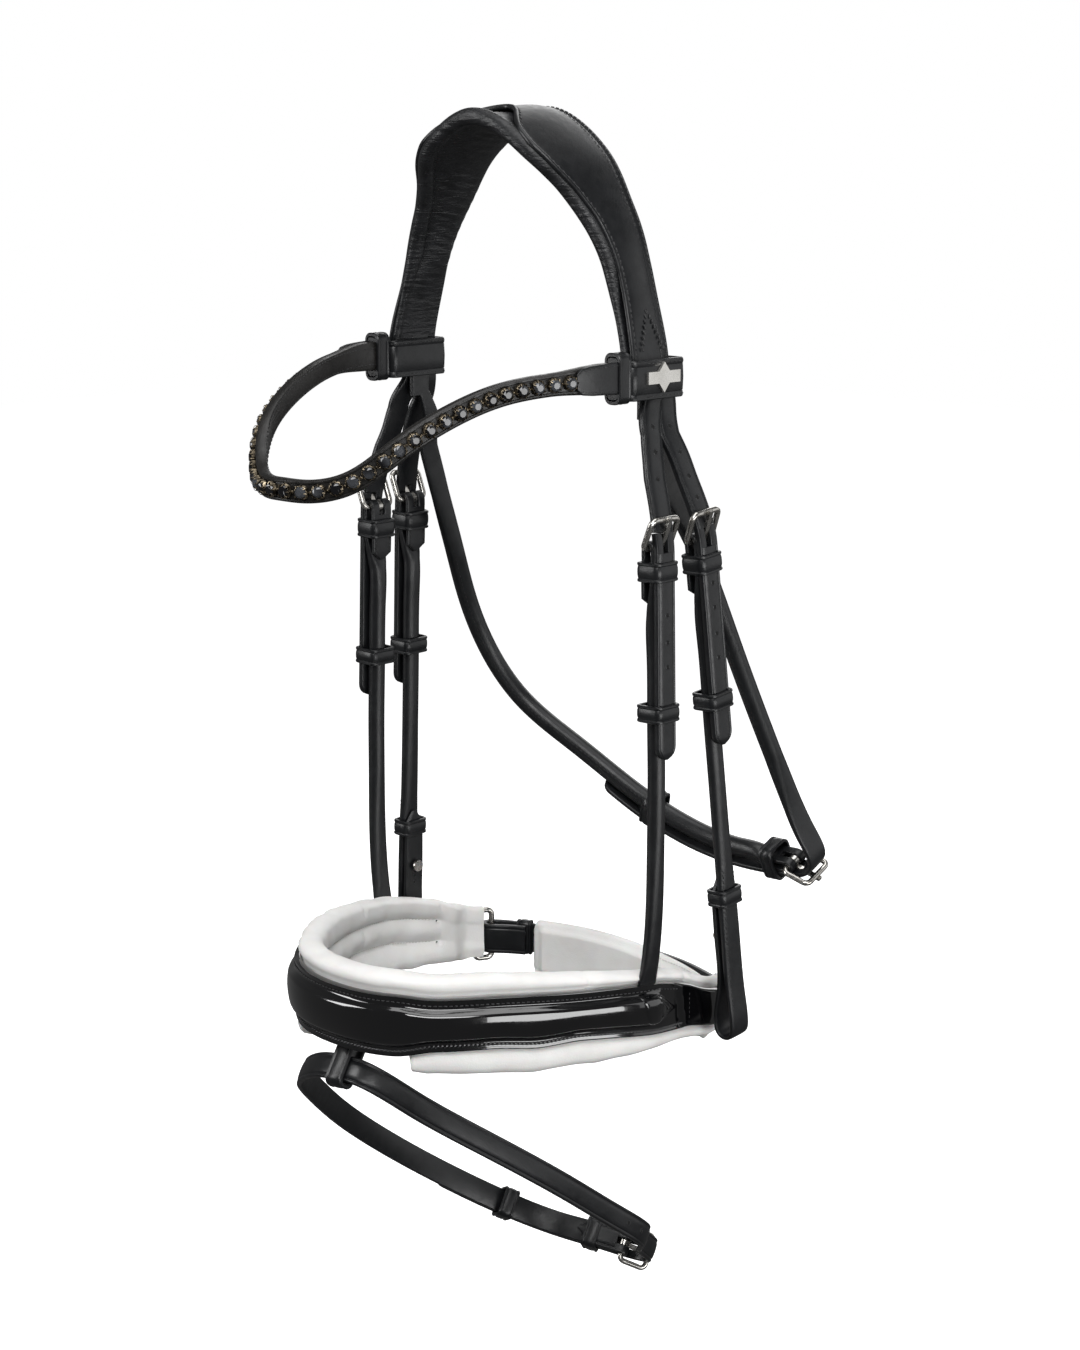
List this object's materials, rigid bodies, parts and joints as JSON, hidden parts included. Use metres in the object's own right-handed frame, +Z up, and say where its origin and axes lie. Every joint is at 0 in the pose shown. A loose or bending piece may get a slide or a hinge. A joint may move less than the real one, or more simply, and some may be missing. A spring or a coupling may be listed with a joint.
{
  "type": "snaffle bridle",
  "caption": "Snaffle bridle with padded headpiece, wave browband set with crystals, padded crank noseband, flash strap, throatlash and buckled cheekpieces.",
  "frame": {"origin": "middle of the underside of the crown padding, where it rests on the horse's poll", "axes": "+Z up, +X towards the horse's left (near) side, -Y towards the horse's nose"},
  "size_m": [0.225, 0.2895, 0.6354],
  "materials": {
    "black": "satin",
    "patent": "gloss",
    "white": "satin",
    "steel": "brushed",
    "crystal": "gloss",
    "setting": "satin"
  },
  "bodies": {
    "headpiece": {"crown_panel": "black", "crown_padding": "black", "headpiece_strap_left": "black", "headpiece_strap_right": "black"},
    "browband": {"browband": "black", "browband_crystals": "crystal", "crystal_settings": "setting", "browband_loop_left": "black", "browband_loop_right": "black", "loop_badge": "steel"},
    "noseband_headstall": {"noseband_billet_left": "black", "noseband_billet_right": "black", "noseband_hanger_left": "black", "noseband_hanger_right": "black", "noseband_buckle_left": "steel", "noseband_buckle_right": "steel", "noseband_upper_keeper_left": "black", "noseband_upper_keeper_right": "black"},
    "noseband": {"noseband": "patent", "noseband_padding": "white", "hanger_cover_left": "black", "hanger_cover_right": "black", "noseband_ring_left": "steel", "noseband_ring_right": "steel", "flash_loop": "black"},
    "chin_strap": {"crank_strap": "black", "crank_keeper": "black", "chin_pad": "white"},
    "flash_strap": {"flash_strap": "black", "flash_buckle": "steel", "flash_keeper": "black", "flash_buckle_keeper": "black"},
    "flash_tongue": {"flash_buckle_tongue": "steel"},
    "throatlash": {"throatlash": "black", "throatlash_billet": "black", "throatlash_buckle": "steel", "throatlash_keeper": "black", "throatlash_buckle_keeper": "black"},
    "throatlash_tongue": {"throatlash_buckle_tongue": "steel"},
    "cheek_left": {"cheek_billet_left": "black", "cheekpiece_left": "black", "cheek_buckle_left": "steel", "cheek_upper_keeper_left": "black", "bit_end_keeper_left": "black", "hook_stud_left": "steel"},
    "cheek_keeper_left": {"cheek_lower_keeper_left": "black"},
    "cheek_tongue_left": {"cheek_buckle_tongue_left": "steel"},
    "noseband_keeper_left": {"noseband_lower_keeper_left": "black"},
    "noseband_tongue_left": {"noseband_buckle_tongue_left": "steel"},
    "cheek_right": {"cheek_billet_right": "black", "cheekpiece_right": "black", "cheek_buckle_right": "steel", "cheek_upper_keeper_right": "black", "bit_end_keeper_right": "black", "hook_stud_right": "steel"},
    "cheek_keeper_right": {"cheek_lower_keeper_right": "black"},
    "cheek_tongue_right": {"cheek_buckle_tongue_right": "steel"},
    "noseband_keeper_right": {"noseband_lower_keeper_right": "black"},
    "noseband_tongue_right": {"noseband_buckle_tongue_right": "steel"}
  },
  "joints": [
    {"name": "browband_slide", "type": "slide", "parent": "headpiece", "child": "browband", "axis": [0, 0, 1], "range_m": [-0.005, 0.005]},
    {"name": "noseband_swing", "type": "hinge", "parent": "headpiece", "child": "noseband_headstall", "pos_m": [0, 0.0035, -0.1385], "axis": [1, 0, 0], "range_deg": [-12, 2]},
    {"name": "noseband_tilt", "type": "hinge", "parent": "noseband_headstall", "child": "noseband", "pos_m": [0, 0.002, -0.414], "axis": [1, 0, 0], "range_deg": [-12, 12]},
    {"name": "chin_tilt", "type": "hinge", "parent": "noseband", "child": "chin_strap", "pos_m": [0, 0.07566, -0.446], "axis": [1, 0, 0], "range_deg": [-6, 6]},
    {"name": "flash_swing", "type": "hinge", "parent": "noseband", "child": "flash_strap", "pos_m": [0, -0.116, -0.451], "axis": [1, 0, 0], "range_deg": [-45, 12]},
    {"name": "throatlash_swing", "type": "hinge", "parent": "headpiece", "child": "throatlash", "pos_m": [0, 0.017, -0.1444], "axis": [1, 0, 0], "range_deg": [-8, 3]},
    {"name": "flash_tongue_turn", "type": "hinge", "parent": "flash_strap", "child": "flash_tongue", "pos_m": [0.00489, 0.08872, -0.61017], "axis": [-0.1239, 0.6109, 0.7819], "range_deg": [0, 18]},
    {"name": "throatlash_tongue_turn", "type": "hinge", "parent": "throatlash", "child": "throatlash_tongue", "pos_m": [0.08885, 0.12661, -0.37947], "axis": [0, 0.9063, 0.4226], "range_deg": [0, 18]},
    {"name": "cheek_lift_left", "type": "hinge", "parent": "headpiece", "child": "cheek_left", "pos_m": [0.083, 0.031, -0.1402], "axis": [0, -1, 0], "range_deg": [0, 50]},
    {"name": "cheek_tongue_turn_left", "type": "hinge", "parent": "cheek_left", "child": "cheek_tongue_left", "pos_m": [0.10027, 0.03167, -0.19508], "axis": [0, 0.9956, 0.0941], "range_deg": [0, 18]},
    {"name": "noseband_tongue_turn_left", "type": "hinge", "parent": "noseband_headstall", "child": "noseband_tongue_left", "pos_m": [0.0974, 0.00345, -0.19608], "axis": [0, 1, -0.0066], "range_deg": [0, 18]},
    {"name": "cheek_keeper_slide_left", "type": "slide", "parent": "cheek_left", "child": "cheek_keeper_left", "axis": [-0.0382, -0.094, 0.9948], "range_m": [-0.012, 0.012]},
    {"name": "noseband_keeper_slide_left", "type": "slide", "parent": "noseband_headstall", "child": "noseband_keeper_left", "axis": [-0.0279, 0.0066, 0.9996], "range_m": [-0.012, 0.012]},
    {"name": "cheek_lift_right", "type": "hinge", "parent": "headpiece", "child": "cheek_right", "pos_m": [-0.083, 0.031, -0.1402], "axis": [0, 1, 0], "range_deg": [0, 50]},
    {"name": "cheek_tongue_turn_right", "type": "hinge", "parent": "cheek_right", "child": "cheek_tongue_right", "pos_m": [-0.10027, 0.03106, -0.19511], "axis": [0, -1, -0.0087], "range_deg": [0, 18]},
    {"name": "noseband_tongue_turn_right", "type": "hinge", "parent": "noseband_headstall", "child": "noseband_tongue_right", "pos_m": [-0.0974, 0.00345, -0.19608], "axis": [0, -1, 0.0066], "range_deg": [0, 18]},
    {"name": "cheek_keeper_slide_right", "type": "slide", "parent": "cheek_right", "child": "cheek_keeper_right", "axis": [0.0384, -0.0087, 0.9992], "range_m": [-0.012, 0.012]},
    {"name": "noseband_keeper_slide_right", "type": "slide", "parent": "noseband_headstall", "child": "noseband_keeper_right", "axis": [0.0279, 0.0066, 0.9996], "range_m": [-0.012, 0.012]}
  ]
}
